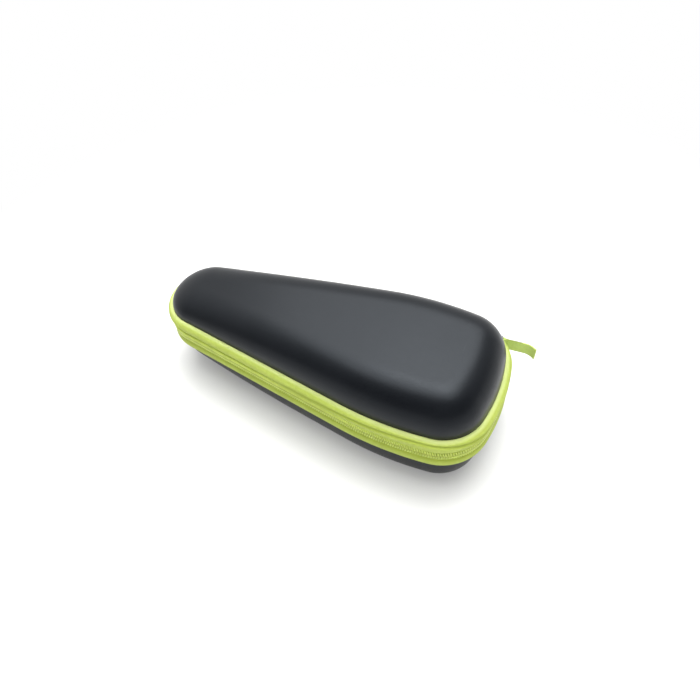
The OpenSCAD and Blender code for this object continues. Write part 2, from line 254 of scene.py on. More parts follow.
foam, tree, shader, where, lengths = material("foam", Specular_IOR_Level=0.25)
cells = node(tree, "TexVoronoi", Vector=where, Scale=2600.0)
patches = node(tree, "TexNoise", Vector=where, Scale=120.0, Detail=3.0)
tree.links.new(ramp(tree, patches, (0.3, (0.030, 0.030, 0.032)), (0.7, (0.042, 0.042, 0.045))), shader.inputs["Base Color"])
tree.links.new(ramp(tree, patches, (0.3, 0.8), (0.7, 0.9)), shader.inputs["Roughness"])
bumped(tree, shader, cells, 0.0001, 0.5)

for half, name in (("base", "lower"), ("lid", "upper")):
    rows = face_rows(1.1, True)
    rows += [("level", *p) for p in bead(1.1, -45, 12)[::-1]]
    rows += [("level", 2.3, 4.8), ("level", 6.1, 4.8), ("level", 6.1, 1.0), ("level", 8.2, 1.0)]
    rows += face_rows(4.3, False)
    piece = finished(shell(rows, half), name + "_foam", half, [name + "_core"])
    piece.data.materials.append(foam)
    piece.data.set_sharp_from_angle(angle=math.radians(50))

# Covers of both halves: satin black leathercloth, a coated knit about 1 mm thick, laminated to the
# foam in the mould. Each ends in a turned edge behind the lime tape, where the wall flares a little.
leather, tree, shader, where, lengths = material("leathercloth", Specular_IOR_Level=0.25, Specular_Tint=(0.84, 0.92, 1.0, 1))
pebbles = node(tree, "TexVoronoi", {"feature": "SMOOTH_F1"}, Vector=where, Scale=1500.0, Smoothness=0.6)
wrinkles = node(tree, "TexNoise", Vector=where, Scale=900.0, Detail=5.0, Roughness=0.6)
clouds = node(tree, "TexNoise", Vector=where, Scale=38.0, Detail=3.0)
swell = node(tree, "TexNoise", Vector=where, Scale=170.0, Detail=2.0)
grain = math_node(tree, "ADD", math_node(tree, "MULTIPLY", pebbles, 0.7), math_node(tree, "MULTIPLY", wrinkles, 0.6))
grain = math_node(tree, "ADD", grain, math_node(tree, "MULTIPLY", swell, 1.6))
edge = node(tree, "NewGeometry").node.outputs["Pointiness"]
worn = ramp(tree, edge, (0.52, 0.0), (0.62, 1.0))
plain = ramp(tree, clouds, (0.3, (0.0032, 0.0038, 0.0052)), (0.7, (0.0046, 0.0053, 0.0070)))
mixed = node(tree, "Mix", {"data_type": "RGBA"}, i0=math_node(tree, "MULTIPLY", worn, 0.35), i6=plain, i7=(0.016, 0.016, 0.017, 1))
tree.links.new(mixed.node.outputs[2], shader.inputs["Base Color"])
sheen = ramp(tree, wrinkles, (0.35, 0.30), (0.65, 0.37))
tree.links.new(sheen, shader.inputs["Roughness"])
bumped(tree, shader, grain, 0.00006, 0.34)

for half, name in (("base", "lower"), ("lid", "upper")):
    rows = face_rows(0.0, True)[:-1]
    rows += [("level", 3.9, 11.2), ("level", 3.86, 10.85), ("level", 3.88, 10.4), ("level", 3.9, 9.9)]
    rows += [("level", 4.9, 9.9)] + face_rows(1.0, False)
    piece = finished(shell(rows, half), name + "_cover", half, [name + "_skin"])
    piece.data.materials.append(leather)

# Linings of both halves: brushed charcoal knit bonded to the inside of the foam.
# It is thin enough to follow the moulding without seams, down to the bound rim.
knit, tree, shader, where, lengths = material("knit", Sheen_Weight=0.35, Specular_IOR_Level=0.2)
shader.inputs["Sheen Roughness"].default_value = 0.5
split_xyz = node(tree, "SeparateXYZ", Vector=where).node
across = math_node(tree, "SINE", math_node(tree, "MULTIPLY", split_xyz.outputs[0], 6500.0))
along = math_node(tree, "SINE", math_node(tree, "MULTIPLY", math_node(tree, "ADD", split_xyz.outputs[1], split_xyz.outputs[2]), 5200.0))
loops = math_node(tree, "MULTIPLY", across, along)
pile = node(tree, "TexNoise", Vector=where, Scale=700.0, Detail=4.0)
stripes = math_node(tree, "ADD", math_node(tree, "MULTIPLY", loops, 0.3), pile)
tree.links.new(ramp(tree, stripes, (0.3, (0.035, 0.036, 0.040)), (0.75, (0.075, 0.077, 0.083))), shader.inputs["Base Color"])
tree.links.new(ramp(tree, pile, (0.3, 0.82), (0.7, 0.95)), shader.inputs["Roughness"])
bumped(tree, shader, stripes, 0.00012, 0.6)

for half, name in (("base", "lower"), ("lid", "upper")):
    rows = face_rows(4.4, True) + [("level", 8.3, 1.0), ("level", 9.1, 1.0)] + face_rows(5.2, False)
    piece = finished(shell(rows, half, 200), name + "_knit", half, [name + "_lining"])
    piece.data.materials.append(knit)

# Zip tapes: one lime woven tape to each half, sewn into the seam under the cover. Its outer edge is
# rolled over the foam's flange as a padded bead, and its inner edge runs flat behind the coil.
# The lid's roll grows slimmer towards the near corner, where more of its tape lies flat.
TAPE_FROM, TAPE_TO = 145.6, ROUND + 37.07


def strip(section, start, end, pitch=1.9, flip=1, closed=True, shadow=None):
    """A strip that follows the outline. Its section is a list of insets and heights from the
    split, or gives that list for each place s; shadow gives how dark the cloth is at s and a height."""
    count = max(2, round((end - start) / pitch))
    places = [start + (end - start) * i / count for i in range(count + 1)]
    lines = [section(s) if callable(section) else section for s in places]
    if closed:
        lines = [line + line[:1] for line in lines]
    up = [0.0]
    for a, b in zip(lines[0], lines[0][1:]):
        up.append(up[-1] + math.dist(a, b))

    def place(i, j):
        inset, z = lines[i][j]
        return on_rim(places[i], inset, SPLIT + flip * z)

    bm = laid_grid(count, len(up) - 1, place, (count, len(up) - 1))
    layer = bm.loops.layers.uv[0]
    dark = bm.verts.layers.float.new("shadow")
    for f in bm.faces:
        for loop in f.loops:
            i, j = round(loop[layer].uv.x), round(loop[layer].uv.y)
            loop[layer].uv = (places[i] - start, up[j])
            loop.vert[dark] = shadow(places[i], lines[i][j][1]) if shadow else 0.0
    bmesh.ops.remove_doubles(bm, verts=bm.verts, dist=2e-6)
    bmesh.ops.holes_fill(bm, edges=[e for e in bm.edges if e.is_boundary])
    bmesh.ops.recalc_face_normals(bm, faces=bm.faces)
    return bm


def woven(name, light, dark, rib, pick, depth, rough=(0.6, 0.8), **values):
    """Woven ribbon: ribs across it rib apart, warp threads pick apart, in millimetres."""
    made, tree, shader, where, lengths = material(name, **values)
    parts = node(tree, "SeparateXYZ", Vector=lengths).node
    wander = math_node(tree, "MULTIPLY", node(tree, "TexNoise", Vector=where, Scale=500.0, Detail=2.0), 0.22 * rib)
    u = math_node(tree, "ADD", parts.outputs[0], wander)
    ribs = math_node(tree, "SINE", math_node(tree, "MULTIPLY", u, math.tau / rib))
    half_step = math_node(tree, "MULTIPLY", math_node(tree, "FLOOR", math_node(tree, "DIVIDE", u, rib)), 0.5)
    v = math_node(tree, "ADD", math_node(tree, "DIVIDE", parts.outputs[1], pick), half_step)
    picks = math_node(tree, "SINE", math_node(tree, "MULTIPLY", v, math.tau))
    weave = math_node(tree, "ADD", math_node(tree, "MULTIPLY", ribs, 0.5), math_node(tree, "MULTIPLY", picks, 0.35))
    fuzz = node(tree, "TexNoise", Vector=where, Scale=2600.0, Detail=3.0)
    patches = node(tree, "TexNoise", Vector=where, Scale=95.0, Detail=2.0)
    slubs = node(tree, "TexNoise", Vector=where, Scale=620.0, Detail=2.0)
    stains = math_node(tree, "ADD", math_node(tree, "MULTIPLY", patches, 0.3), math_node(tree, "MULTIPLY", slubs, 0.55))
    shade = math_node(tree, "ADD", math_node(tree, "MULTIPLY", weave, 0.32), math_node(tree, "ADD", math_node(tree, "MULTIPLY", fuzz, 0.35), stains))
    tree.links.new(ramp(tree, shade, (0.30, dark), (0.90, light)), shader.inputs["Base Color"])
    tree.links.new(ramp(tree, fuzz, (0.3, rough[0]), (0.7, rough[1])), shader.inputs["Roughness"])
    relief = math_node(tree, "ADD", math_node(tree, "MULTIPLY", fuzz, 0.4), math_node(tree, "MULTIPLY", slubs, 0.7))
    bumped(tree, shader, math_node(tree, "ADD", weave, relief), depth, 0.7)
    return made


LIME, LIME_DARK = (0.495, 0.60, 0.114), (0.375, 0.455, 0.07)
tape = woven("tape", LIME, LIME_DARK, 0.55, 0.42, 0.00016, Sheen_Weight=0.05, Specular_IOR_Level=0.2)
# A highlight is painted pale along the fold of the roll, and shade is painted darker into the groove below it from the
# tape's 'shadow' attribute.
tree = tape.node_tree
shader = tree.nodes["Principled BSDF"]
woven_colour = shader.inputs["Base Color"].links[0].from_socket
where = tree.nodes["Texture Coordinate"].outputs["Object"]
height = node(tree, "SeparateXYZ", Vector=where).node.outputs[2]
away = math_node(tree, "ABSOLUTE", math_node(tree, "SUBTRACT", height, SPLIT * MM))
level = math_node(tree, "MULTIPLY", away, 80.0)
fold = ramp(tree, level, (0.805, 0.0), (0.862, 0.75))
fold_highlight = node(tree, "Mix", {"data_type": "RGBA"}, i0=fold, i6=woven_colour, i7=(0.69, 0.78, 0.32, 1))
sunk = node(tree, "Attribute", {"attribute_name": "shadow"}).node.outputs["Fac"]
shaded = node(tree, "Mix", {"data_type": "RGBA"}, i0=sunk, i6=fold_highlight.node.outputs[2], i7=(0.31, 0.38, 0.045, 1))
tree.links.new(shaded.node.outputs[2], shader.inputs["Base Color"])

LOW_GROOVE = 3.8
SEAM = [(0, 3.8), (238, 3.8), (262, 5.8), (288, 9.1), (304, 9.1), (345, 7.8), (385, 5.4), (412, 3.8), (600, 3.8)]
INNER = [(3.8, 9.8)] + bead(1, -45, 8)[::-1] + [(3.5, 4.2), (3.5, 0.5)]


def groove_at(s):
    """Height of the groove under the lid's roll."""
    heights = []
    for at in (s - 8, s - 4, s, s + 4, s + 8):
        (a, low), (b, high) = next(pair for pair in zip(SEAM, SEAM[1:]) if at <= pair[1][0])
        heights.append(low + (high - low) * (at - a) / (b - a))
    return sum(heights) / len(heights)


def tape_section(groove):
    """Section of a tape whose groove is at this height; it lies flat between the coil and a high groove."""
    flat = min(1.0, (groove - LOW_GROOVE) / 1.2)
    slim = (groove - LOW_GROOVE) / 5.3
    wide, deep = 1.3 - 0.78 * slim, 1.0 - 0.25 * slim
    face = []
    for inset, z in [(1.8, 3.2), (1.55, 3.5), (1.5, 3.8)] + bead(0, -50, 40):
        tilt = math.asin(min(1.0, max(0.0, (z - 7.25) / 3.55)))
        full = inset if z > 7.25 else 0.15 + 0.6 * ((7.25 - z) / 4.25) ** 2
        full += 0.3 * math.exp(-((z - 3.45) / 0.35) ** 2)
        u = (z - groove) / wide
        dent = deep * (math.exp(-u * u) - 0.22 * math.exp(-((abs(u) - 2) / 1.1) ** 2))
        moved = full + dent * math.cos(tilt) - inset
        face.append((inset + flat * moved, z - flat * dent * math.sin(tilt)))
    return [(2.5, 0.5), (2.5, 1.3), (2.5, 2.2), (2.48, 2.75), (2.2, 3.0)] + face + INNER


def groove_shadow(groove, z):
    return 0.8 * math.exp(-((z - groove) / (1.7 - 1.2 * (groove - LOW_GROOVE) / 5.3)) ** 2)


for half, name, flip in (("base", "lower", -1), ("lid", "upper", 1)):
    groove = groove_at if half == "lid" else lambda s: LOW_GROOVE
    # Each tape carries painted shade along its groove, kept in its 'shadow' attribute.
    bm = strip(lambda s: tape_section(groove(s)), TAPE_FROM, TAPE_TO, 1.9, flip, True,
               lambda s, z: groove_shadow(groove(s), z))
    piece = finished(bm, name + "_tape", half, [name + "_zip_tape"])
    piece.data.materials.append(tape)
    piece.data.set_sharp_from_angle(angle=math.radians(60))

# Coils: nylon monofilament wound to slanting turns 1.3 mm apart and sewn to the tape's inner edge.
# The heads of one row lie between those of the other, and apart where the slider runs; shade is painted darker into the
# nylon along the line where the rows meet.
COIL_FROM, COIL_TO, PITCH = 185.0, ROUND + 35.67, 1.3


def turned_to(s, inset, z, slant=0.0):
    """Frame at a place on the outline: first axis along it, second outward, third up."""
    p, n = rim(s)
    t = Vector((n.y, -n.x, 0))
    place = on_rim(s, inset, z) * MM
    axes = Matrix((t, (n.x, n.y, 0), (0, 0, 1))).transposed()
    return Matrix.Translation(place) @ (axes @ Matrix.Rotation(slant, 3, "Y")).to_4x4()


nylon, tree, shader, where, lengths = material("nylon", Specular_IOR_Level=0.35, Subsurface_Weight=0.12)
shader.inputs["Subsurface Radius"].default_value = (0.0008, 0.0009, 0.0003)
drift = node(tree, "TexNoise", Vector=where, Scale=160.0, Detail=2.0)
scratch = node(tree, "TexNoise", Vector=where, Scale=2400.0, Detail=4.0)
height = node(tree, "SeparateXYZ", Vector=where).node.outputs[2]
away = math_node(tree, "ABSOLUTE", math_node(tree, "SUBTRACT", height, SPLIT * MM))
# Painted shade: the nylon turns darker within about 0.6 mm of the line where the rows meet.
between = ramp(tree, math_node(tree, "MULTIPLY", away, 80.0), (0.02, 0.8), (0.06, 0.0))
plain_nylon = ramp(tree, drift, (0.3, (0.46, 0.55, 0.09)), (0.7, (0.58, 0.68, 0.13)))
shaded_nylon = node(tree, "Mix", {"data_type": "RGBA"}, i0=between, i6=plain_nylon, i7=(0.29, 0.35, 0.045, 1))
tree.links.new(shaded_nylon.node.outputs[2], shader.inputs["Base Color"])
tree.links.new(ramp(tree, scratch, (0.3, 0.30), (0.7, 0.46)), shader.inputs["Roughness"])
bumped(tree, shader, scratch, 0.00003, 0.4)

for half, name, flip, shift in (("base", "lower", -1, 0.0), ("lid", "upper", 1, 0.5)):
    bm = bmesh.new()
    for k in range(int((COIL_TO - COIL_FROM) / PITCH - 1)):
        s = COIL_FROM + (k + 0.5 + shift) * PITCH
        apart = 181.0 < s < 232.0
        low = 0.35 if apart else -0.6
        middle, tall = (low + 3.05) / 2, 3.05 - low
        at = turned_to(s, 1.5, SPLIT + flip * middle, flip * 0.2)
        limb = bmesh.ops.create_cube(bm, size=1, matrix=at @ Matrix.Diagonal((0.78 * MM, 1.7 * MM, tall * MM, 1)))
        at = turned_to(s - flip * 0.2 * (middle - low - 0.5), 1.4, SPLIT + flip * (low + 0.5))
        head = bmesh.ops.create_cube(bm, size=1, matrix=at @ Matrix.Diagonal((0.62 * MM, 1.74 * MM, 0.9 * MM, 1)))
        edges = list({e for v in limb["verts"] + head["verts"] for e in v.link_edges})
        bmesh.ops.bevel(bm, geom=edges, offset=0.2 * MM, segments=1, affect="EDGES", profile=0.5, material=-1)
    piece = finished(bm, name + "_coil", half, [name + "_zip_coil"])
    piece.data.materials.append(nylon)

# Coil stitching: a lockstitch of lime thread through tape and coil, in the groove beside the bead.
# Every stitch is 2.1 mm long and sinks into the tape at both ends.
def thread_material(name, light, dark):
    made, tree, shader, where, lengths = material(name, Specular_IOR_Level=0.35)
    twist = node(tree, "TexWave", {"wave_type": "BANDS", "bands_direction": "DIAGONAL"}, Vector=where, Scale=900.0, Distortion=1.0)
    fuzz = node(tree, "TexNoise", Vector=where, Scale=2200.0, Detail=3.0)
    tree.links.new(ramp(tree, math_node(tree, "MULTIPLY", math_node(tree, "ADD", twist, fuzz), 0.5), (0.3, dark), (0.7, light)), shader.inputs["Base Color"])
    tree.links.new(ramp(tree, fuzz, (0.3, 0.55), (0.7, 0.7)), shader.inputs["Roughness"])
    bumped(tree, shader, twist, 0.00006, 0.6)
    return made


def stitches(places, long, wide, high):
    """One small spindle of thread at each frame."""
    bm = bmesh.new()
    size = Matrix.Diagonal((long / 2 * MM, high / 2 * MM, wide / 2 * MM, 1))
    for at in places:
        bmesh.ops.create_uvsphere(bm, u_segments=8, v_segments=5, radius=1, matrix=at @ size)
    return bm


lime_thread = thread_material("lime_thread", (0.60, 0.72, 0.19), (0.42, 0.54, 0.11))
for half, name, flip in (("base", "lower", -1), ("lid", "upper", 1)):
    count = int((TAPE_TO - TAPE_FROM - 2) / 2.6)
    places = []
    for k in range(count):
        s = TAPE_FROM + 1.6 + 2.6 * k
        flat = min(1.0, (groove_at(s) - LOW_GROOVE) / 1.2) if half == "lid" else 0.0
        places.append(turned_to(s, 1.55 - 0.57 * flat, SPLIT + flip * 3.45))
    piece = finished(stitches(places, 2.2, 0.42, 0.5), name + "_stitching", half, [name + "_seam"])
    piece.data.materials.append(lime_thread)

# Stops: a crimped metal clip closes the end of each coil beside the shoulder, and a moulded lime
# block holds both rows together where the zip begins, at the narrow end of the hinge.
def block(start, end, inset, deep, low, high, flip, steps=4, soft=0.22):
    """A small block that follows the outline, with soft edges."""
    section = [(inset, low), (inset + deep, low), (inset + deep, high), (inset, high)]
    bm = strip(section, start, end, (end - start) / steps, flip)
    bmesh.ops.dissolve_limit(bm, angle_limit=math.radians(1), verts=bm.verts, edges=bm.edges)
    sharp = [e for e in bm.edges if len(e.link_faces) == 2 and e.calc_face_angle() > 0.9]
    bmesh.ops.bevel(bm, geom=sharp, offset=soft * MM, segments=3, affect="EDGES", profile=0.5, material=-1)
    return bm


metal, tree, shader, where, lengths = material("zip_metal", Metallic=1.0)
brushed = node(tree, "TexNoise", Vector=node(tree, "Mapping", Vector=where, Scale=(400, 400, 4000)), Scale=1.0, Detail=4.0)
stains = node(tree, "TexNoise", Vector=where, Scale=260.0, Detail=3.0)
edge = node(tree, "NewGeometry").node.outputs["Pointiness"]
bright = ramp(tree, edge, (0.50, 0.0), (0.58, 1.0))
base = ramp(tree, stains, (0.3, (0.33, 0.33, 0.34)), (0.7, (0.42, 0.42, 0.43)))
mixed = node(tree, "Mix", {"data_type": "RGBA"}, i0=bright, i6=base, i7=(0.62, 0.62, 0.63, 1))
tree.links.new(mixed.node.outputs[2], shader.inputs["Base Color"])
tree.links.new(ramp(tree, brushed, (0.3, 0.24), (0.7, 0.42)), shader.inputs["Roughness"])
bumped(tree, shader, brushed, 0.00002, 0.3)

for half, name, flip in (("base", "lower", -1), ("lid", "upper", 1)):
    piece = finished(block(181.6, 184.5, 0.2, 2.2, 0.5, 3.1, flip), name + "_clip", half, [name + "_end_stop"])
    piece.data.materials.append(metal)

plastic, tree, shader, where, lengths = material("stop_plastic", Specular_IOR_Level=0.5)
drift = node(tree, "TexNoise", Vector=where, Scale=300.0, Detail=3.0)
tree.links.new(ramp(tree, drift, (0.3, (0.50, 0.63, 0.14)), (0.7, (0.58, 0.71, 0.18))), shader.inputs["Base Color"])
tree.links.new(ramp(tree, drift, (0.3, 0.36), (0.7, 0.5)), shader.inputs["Roughness"])
bumped(tree, shader, node(tree, "TexNoise", Vector=where, Scale=3000.0, Detail=3.0), 0.00003, 0.4)
piece = finished(block(ROUND + 35.8, ROUND + 36.85, 0.42, 1.98, 0.5, 3.1, -1, 2, 0.18), "start_block", "base", ["zip_start_stop"])
piece.data.materials.append(plastic)

# Hinge strip: the same lime fabric goes on across both halves along the far straight side.
# It is sewn to each half by one row beside the fold, and it bends when the lid opens.
upper = [(1.1, z) for z in (0.0, 0.35, 0.7, 1.1, 1.5, 1.9, 2.3, 2.7, 3.3)] + bead(0, -50, 22) + [(3.8, 9.8)]
upper += bead(1, -40, 8)[::-1] + [(2.1, z) for z in (4.0, 3.3, 2.7, 2.3, 1.9, 1.5, 1.1, 0.7, 0.35)]
lower = [(a, -b) for a, b in reversed(upper[1:])]
start, end = 37.6, 144.8
# The hinge cloth carries painted shade along its two grooves, in its 'shadow' attribute.
bm = strip(upper + [(2.1, 0.0)] + lower, start, end, 2.4, 1, True, lambda s, z: groove_shadow(LOW_GROOVE, abs(z)))
piece = finished(bm, "hinge_cloth", None, ["hinge_strip"])
piece.data.materials.append(tape)
piece.data.set_sharp_from_angle(angle=math.radians(60))
middle = on_rim((start + end) / 2, 1.1, SPLIT) * MM
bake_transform(piece)
for half, name, flip in (("base", "lower", -1), ("lid", "upper", 1)):
    places = [turned_to(start + 1.8 + 2.6 * k, 1.0, SPLIT + flip * 3.5) for k in range(40)]
    piece = finished(stitches(places, 2.2, 0.42, 0.5), name + "_hinge_stitching", half, [name + "_hinge_seam"])
    piece.data.materials.append(lime_thread)

# Bindings: black ribbed ribbon folded over the rim of each half and glued up the wall,
# so that no raw edge of foam or knit shows inside; a row of dark thread runs along its edge.
binding = woven("binding", (0.030, 0.030, 0.032), (0.012, 0.012, 0.013), 0.7, 0.5, 0.00015, Specular_IOR_Level=0.3, Sheen_Weight=0.2)
dark_thread = thread_material("dark_thread", (0.045, 0.045, 0.048), (0.02, 0.02, 0.022))
section = [(6.1, 0.45), (6.15, 0.36), (7.5, 0.35), (9.3, 0.35), (9.68, 0.42), (9.75, 0.6), (9.75, 3), (9.75, 5.5), (9.75, 7.85), (9.6, 8.0)]
section += [(9.3, 8.0), (9.2, 7.8), (9.2, 5.5), (9.2, 3), (9.2, 1.0), (9.0, 0.9), (7.5, 0.9), (6.2, 0.9)]
for half, name, flip in (("base", "lower", -1), ("lid", "upper", 1)):
    bm = strip(section, 0, ROUND, 2.2, flip)
    piece = finished(bm, name + "_edging", half, [name + "_binding"])
    piece.data.materials.append(binding)
    places = [turned_to(1 + 2.9 * k, 9.8, SPLIT + flip * 7.0) for k in range(int((ROUND - 1) / 2.9))]
    piece = finished(stitches(places, 2.3, 0.4, 0.45), name + "_edging_stitching", half, [])
    piece.data.materials.append(dark_thread)

# Strap across the base: black ribbed elastic 24 mm wide that holds the shaver down.
# Its ends turn against the walls, under two woven patches that are sewn through the wall.
STRAP_AT, STRAP_WIDE = 12.0, 24.0


def wall_at(x, inset, side):
    """Half width of the case at x, on the inside of its wall."""
    low, high = 0.0, HALF
    for _ in range(40):
        middle = (low + high) / 2
        p = on_rim(middle, inset, 0)
        low, high = (middle, high) if p.x < x else (low, middle)
    return side * on_rim(low, inset, 0).y


elastic = woven("elastic", (0.028, 0.028, 0.030), (0.010, 0.010, 0.011), 1.5, 0.6, 0.00025, Specular_IOR_Level=0.3, Sheen_Weight=0.25)


def strap_point(i, j, columns, rows):
    across = i / columns - 0.5
    x = STRAP_AT + across * STRAP_WIDE
    t = 2 * j / rows - 1
    y = wall_at(x, 10.0, 1) * t
    dip = 0.45 * (1 - t * t) + 0.12 * math.sin(9 * t) * math.cos(5 * across)
    curl = 0.25 * (2 * across) ** 4
    return Vector((x, y, SPLIT - 9.75 - dip + curl))


bm = laid_grid(16, 46, lambda i, j: strap_point(i, j, 16, 46), (STRAP_WIDE, 57))
layer = bm.loops.layers.uv[0]
for f in bm.faces:
    for loop in f.loops:
        loop[layer].uv = (loop[layer].uv.y, loop[layer].uv.x)
bmesh.ops.solidify(bm, geom=bm.faces, thickness=1.0 * MM)
bmesh.ops.recalc_face_normals(bm, faces=bm.faces)
piece = finished(bm, "holding_strap", "base", ["strap"])
piece.data.materials.append(elastic)

patch = woven("patch", (0.10, 0.10, 0.105), (0.055, 0.055, 0.058), 0.8, 0.8, 0.0002, Specular_IOR_Level=0.3)


def rim_near(x, inset, side):
    low, high = 0.0, HALF
    for _ in range(40):
        middle = (low + high) / 2
        low, high = (middle, high) if on_rim(middle, inset, 0).x < x else (low, middle)
    return low if side > 0 else ROUND - low


bm = bmesh.new()
for side in (-1, 1):
    a, b = sorted((rim_near(STRAP_AT - 13, 9.3, side), rim_near(STRAP_AT + 13, 9.3, side)))
    part = block(a, b, 9.18, 0.56, 8.25, 11.55, -1, 12, 0.2)
    mesh = bpy.data.meshes.new("part")
    part.to_mesh(mesh)
    part.free()
    bm.from_mesh(mesh)
    bpy.data.meshes.remove(mesh)
piece = finished(bm, "strap_patches", "base", ["strap_anchors"])
piece.data.materials.append(patch)
piece.data.set_sharp_from_angle(angle=math.radians(40))
places = []
for side in (-1, 1):
    a, b = sorted((rim_near(STRAP_AT - 12, 9.3, side), rim_near(STRAP_AT + 12, 9.3, side)))
    for z in (8.8, 11.15):
        places += [turned_to(a + 1.2 + k * (b - a - 2.4) / 8, 9.76, SPLIT - z) for k in range(9)]
piece = finished(stitches(places, 2.1, 0.36, 0.4), "patch_stitching", "base", [])
piece.data.materials.append(dark_thread)

# Mesh pocket of the lid: grey polyester net stretched flat across the wide half of the lid,
# caught under the binding all round, and closed at its mouth by an elastic hem 6 mm wide.
net, tree, shader, where, lengths = material("net", Specular_IOR_Level=0.35, Sheen_Weight=0.2)
strands = node(tree, "TexNoise", Vector=where, Scale=1500.0, Detail=3.0)
tree.links.new(ramp(tree, strands, (0.3, (0.085, 0.087, 0.09)), (0.7, (0.14, 0.142, 0.147))), shader.inputs["Base Color"])
tree.links.new(ramp(tree, strands, (0.3, 0.6), (0.7, 0.78)), shader.inputs["Roughness"])
bumped(tree, shader, strands, 0.0001, 0.6)
CELL, MOUTH = 2.0, -12.0
inner = [on_rim(ROUND * k / 900, 9.5, 0).xy for k in range(900)]


def inside(x, y, inset):
    if not -LENGTH / 2 < x < LENGTH / 2:
        return False
    low, high = 0.0, HALF
    for _ in range(26):
        middle = (low + high) / 2
        low, high = (middle, high) if on_rim(middle, inset, 0).x < x else (low, middle)
    return abs(y) < on_rim(low, inset, 0).y and x < LENGTH / 2 - inset


bm = bmesh.new()
bmesh.ops.create_grid(bm, x_segments=76, y_segments=76, size=76 * CELL / 2 * MM)
bmesh.ops.rotate(bm, verts=bm.verts, cent=(0, 0, 0), matrix=Matrix.Rotation(math.radians(45), 3, "Z"))
bmesh.ops.translate(bm, verts=bm.verts, vec=(0.045, 0, 0))
lost = [v for v in bm.verts if v.co.x < -0.0052 or not inside(v.co.x / MM, v.co.y / MM, 10.2)]
bmesh.ops.delete(bm, geom=lost, context="VERTS")
bmesh.ops.delete(bm, geom=[v for v in bm.verts if len(v.link_faces) == 0], context="VERTS")
for v in [v for v in bm.verts if v.is_boundary]:
    x, y = v.co.x / MM, v.co.y / MM
    if x < -2.6:
        v.co.x = -0.0056
        continue
    close = min(inner, key=lambda p: (p.x - x) ** 2 + (p.y - y) ** 2)
    v.co.x, v.co.y = close.x * MM, close.y * MM
for v in bm.verts:
    x, y = v.co.x / MM, v.co.y / MM
    v.co.z = (SPLIT + 2.7 + 0.15 * math.sin(x * 0.09) * math.cos(y * 0.1)) * MM
bmesh.ops.recalc_face_normals(bm, faces=bm.faces)
bmesh.ops.wireframe(bm, faces=bm.faces, thickness=0.62 * MM, use_replace=True, use_boundary=True, use_even_offset=True)
piece = finished(bm, "pocket_net", "lid", ["pocket_mesh"])
piece.data.materials.append(net)

hem_cloth = woven("hem", (0.035, 0.035, 0.038), (0.014, 0.014, 0.015), 1.0, 0.6, 0.0002, Specular_IOR_Level=0.3, Sheen_Weight=0.25)
oval = [(math.cos(a) * 2.95, math.sin(a) * 0.75) for a in [math.tau * k / 24 for k in range(25)]]
oval = [(math.copysign(abs(x / 2.95) ** 0.45, x) * 2.95, math.copysign(abs(z / 0.75) ** 0.7, z) * 0.75) for x, z in oval]


def hem_point(i, j, columns):
    t = 2 * i / columns - 1
    dx, dz = oval[j]
    x = MOUTH + 3 + dx
    y = wall_at(x, 9.9, 1) * t
    gather = 0.1 * math.sin(i * 0.9) * abs(dx) / 3
    return Vector((x, y, SPLIT + 2.7 + dz * (1 + gather) + 0.05 * math.sin(i * 1.7)))


bm = laid_grid(70, 24, lambda i, j: hem_point(i, j, 70), (52, 14))
bmesh.ops.remove_doubles(bm, verts=bm.verts, dist=2e-6)
bmesh.ops.holes_fill(bm, edges=[e for e in bm.edges if e.is_boundary])
bmesh.ops.recalc_face_normals(bm, faces=bm.faces)
piece = finished(bm, "pocket_band", "lid", ["pocket_hem"])
piece.data.materials.append(hem_cloth)
places = []
reach = wall_at(MOUTH + 4.7, 10.4, 1)
for k in range(int(2 * reach / 2.7)):
    at = Matrix.Translation(Vector((MOUTH + 4.7, -reach + 1.4 + 2.7 * k, SPLIT + 1.98)) * MM)
    places.append(at @ Matrix(((0, 0, 1, 0), (1, 0, 0, 0), (0, 1, 0, 0), (0, 0, 0, 1))))
piece = finished(stitches(places, 2.1, 0.4, 0.4), "pocket_stitching", "lid", ["pocket_seam"])
piece.data.materials.append(dark_thread)

# Slider: die cast in two plates joined by a post that parts the rows, with an arched bridge for the pull.
# It is parked at the far corner of the wide end and runs round that corner.
PARK = math.radians(72.0263)
HUB = corner_mid + MIDDLE


def at_corner(length, inset, z):
    """A place on the corner, counted along it from the parked slider."""
    a = PARK + length / CORNER
    r = CORNER - inset
    return Vector((HUB.x + r * math.cos(a), HUB.y + r * math.sin(a), SPLIT + z))


def curved_plate(bm, half_height, start, end, inset, thick, bend=0.0):
    """Adds a plate that follows the corner; half_height gives its half height along it."""
    made = bmesh.new()
    bmesh.ops.create_grid(made, x_segments=24, y_segments=10, size=1)
    for v in made.verts:
        a = start + (end - start) * (v.co.x + 1) / 2
        h = half_height((v.co.x + 1) / 2) * v.co.y
        v.co = at_corner(a, inset - bend * (1 - v.co.y ** 2), h) * MM
    bmesh.ops.recalc_face_normals(made, faces=made.faces)
    bmesh.ops.solidify(made, geom=made.faces, thickness=thick * MM)
    bmesh.ops.recalc_face_normals(made, faces=made.faces)
    sharp = [e for e in made.edges if len(e.link_faces) == 2 and e.calc_face_angle() > 0.9]
    bmesh.ops.bevel(made, geom=sharp, offset=0.22 * MM, segments=3, affect="EDGES", profile=0.5, material=-1)
    mesh = bpy.data.meshes.new("part")
    made.to_mesh(mesh)
    made.free()
    bm.from_mesh(mesh)
    bpy.data.meshes.remove(mesh)


def slider_outline(full):
    def half_height(t):
        ends = min(1.0, math.sqrt(max(0.0, 1 - (abs(2 * t - 1)) ** 5)) + 0.25)
        return (full - 0.55 * (1 - t)) * ends
    return half_height


bm = bmesh.new()
curved_plate(bm, slider_outline(3.85), -4.65, 4.65, -0.98, -0.95, 0.0)
curved_plate(bm, slider_outline(3.85), -4.2, 4.65, 4.78, -0.9, 0.0)


